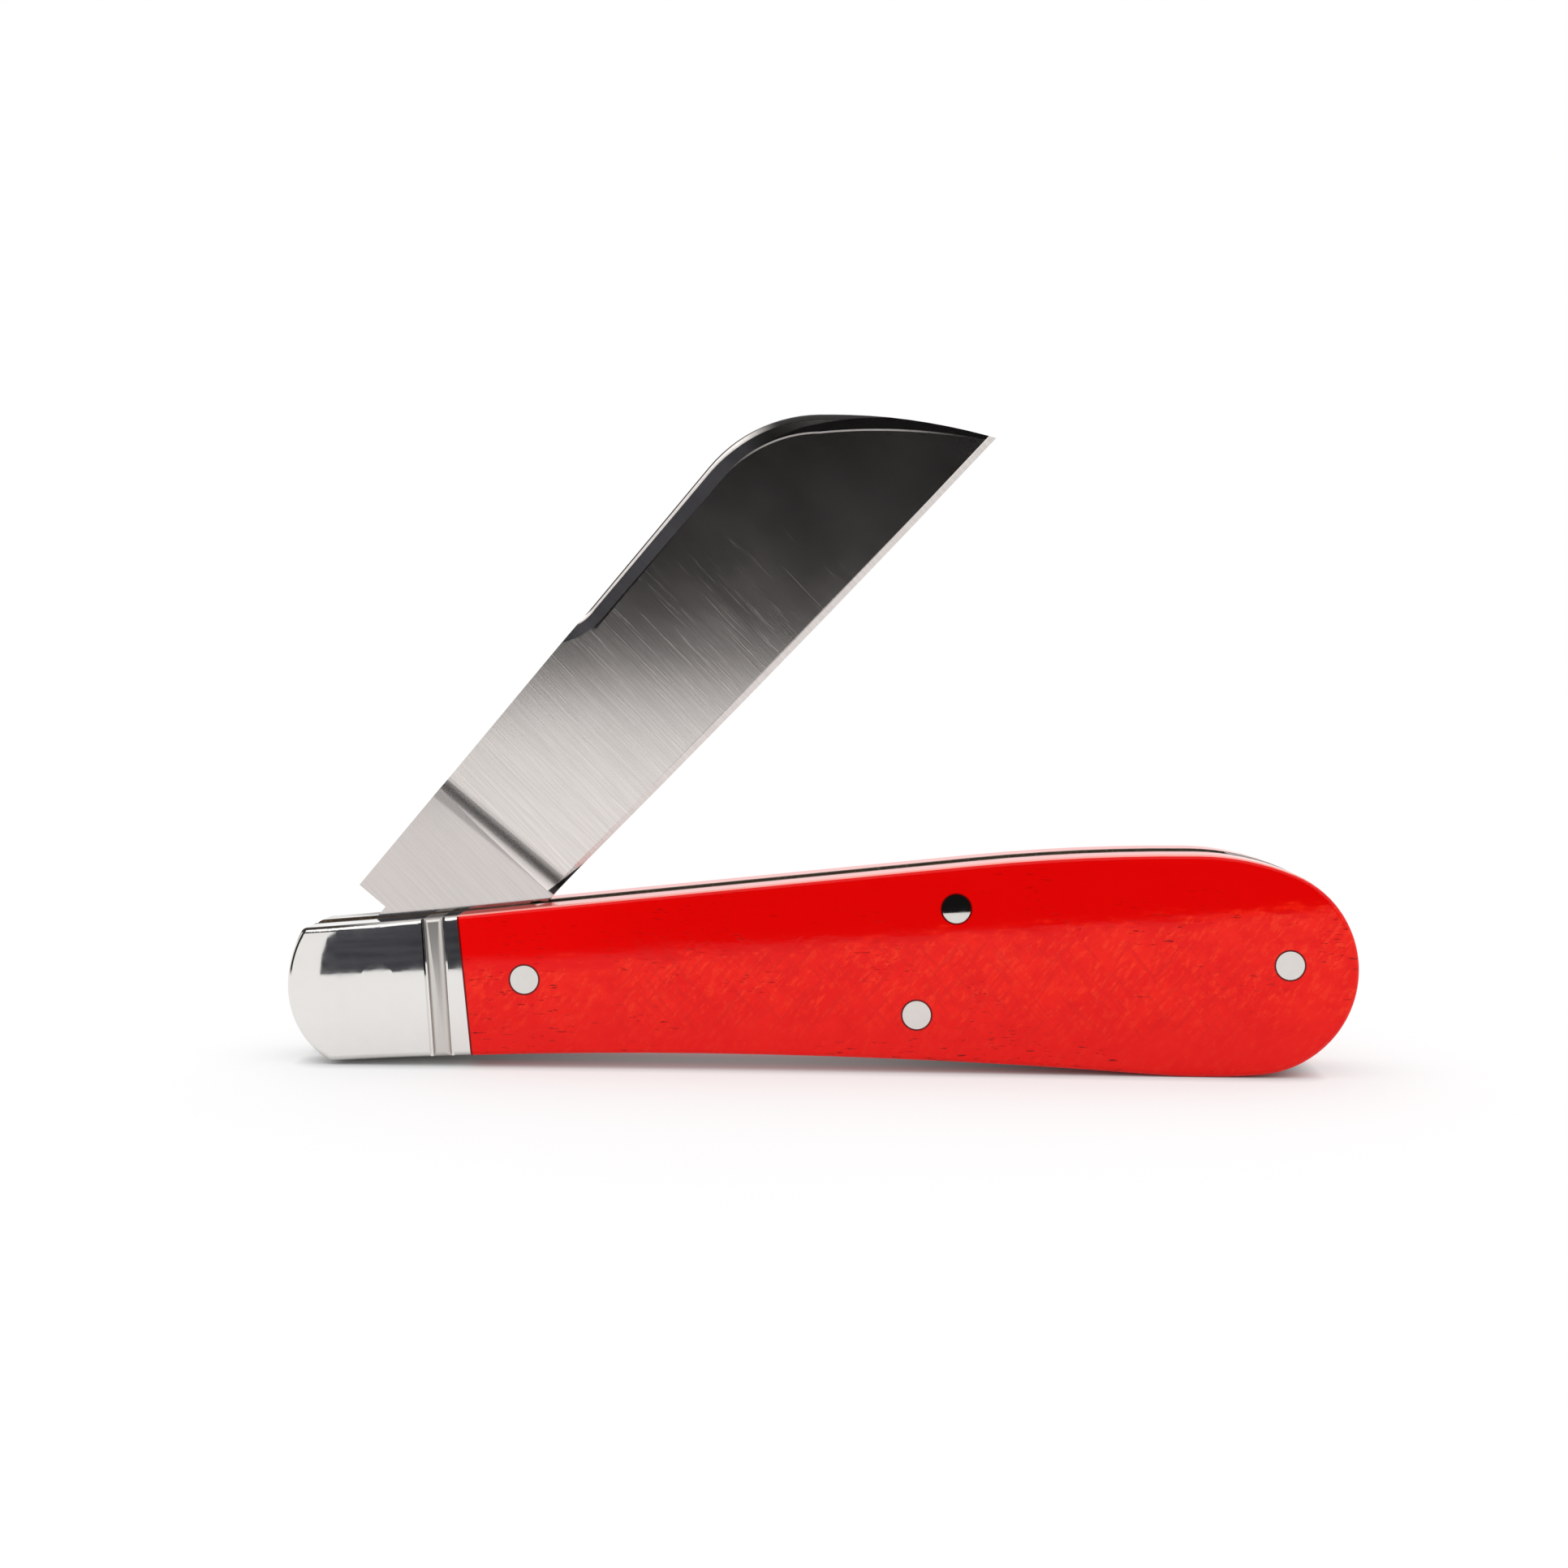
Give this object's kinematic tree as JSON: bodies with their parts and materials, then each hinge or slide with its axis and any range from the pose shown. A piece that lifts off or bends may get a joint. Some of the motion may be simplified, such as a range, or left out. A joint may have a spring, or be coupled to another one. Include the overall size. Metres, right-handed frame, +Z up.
{
  "type": "folding pocket knife",
  "caption": "Folding slip-joint pocket knife with a broad sheepfoot blade on a pivot, a backspring, metal liners, polished bolsters and pinned red handle scales, shown half open.",
  "frame": {"origin": "middle of the handle's length and thickness, on the surface that the knife stands on", "axes": "+X along the handle to the butt, +Y to the rear scale, +Z up from the back of the handle to its opening"},
  "size_m": [0.095, 0.0106, 0.0584],
  "materials": {
    "blade_steel": "satin, ground across the blade",
    "spring_steel": "satin, darkened inside the well",
    "liner_brass": "dull, tarnished",
    "bolster_metal": "mirror polished white metal",
    "scale_bone": "polished, dyed deep red, fine pores",
    "pin_metal": "polished white metal, flush"
  },
  "bodies": {
    "handle": {"front_liner": "liner_brass", "rear_liner": "liner_brass", "front_bolster": "bolster_metal", "rear_bolster": "bolster_metal", "front_scale": "scale_bone", "rear_scale": "scale_bone", "pivot_pin": "bolster_metal", "centre_pin": "pin_metal", "end_pin": "pin_metal", "front_forward_rivet": "pin_metal", "front_upper_rivet": "pin_metal", "rear_forward_rivet": "pin_metal", "rear_upper_rivet": "pin_metal", "front_bolster_nose_rivet": "pin_metal", "front_bolster_heel_rivet": "pin_metal", "rear_bolster_nose_rivet": "pin_metal", "rear_bolster_heel_rivet": "pin_metal"},
    "blade": {"blade": "blade_steel"},
    "backspring": {"backspring": "spring_steel"}
  },
  "joints": [
    {"name": "blade_pivot", "type": "hinge", "parent": "handle", "child": "blade", "pos_m": [-0.0392, 0, 0.00755], "axis": [0, -1, 0], "range_deg": [-38.7, 129.8]},
    {"name": "spring_flex", "type": "hinge", "parent": "handle", "child": "backspring", "pos_m": [0.0088, 0, 0.0052], "axis": [0, -1, 0], "range_deg": [-0.32, 0], "stiffness_Nm_per_rad": 40, "deforming": ["backspring"]}
  ]
}
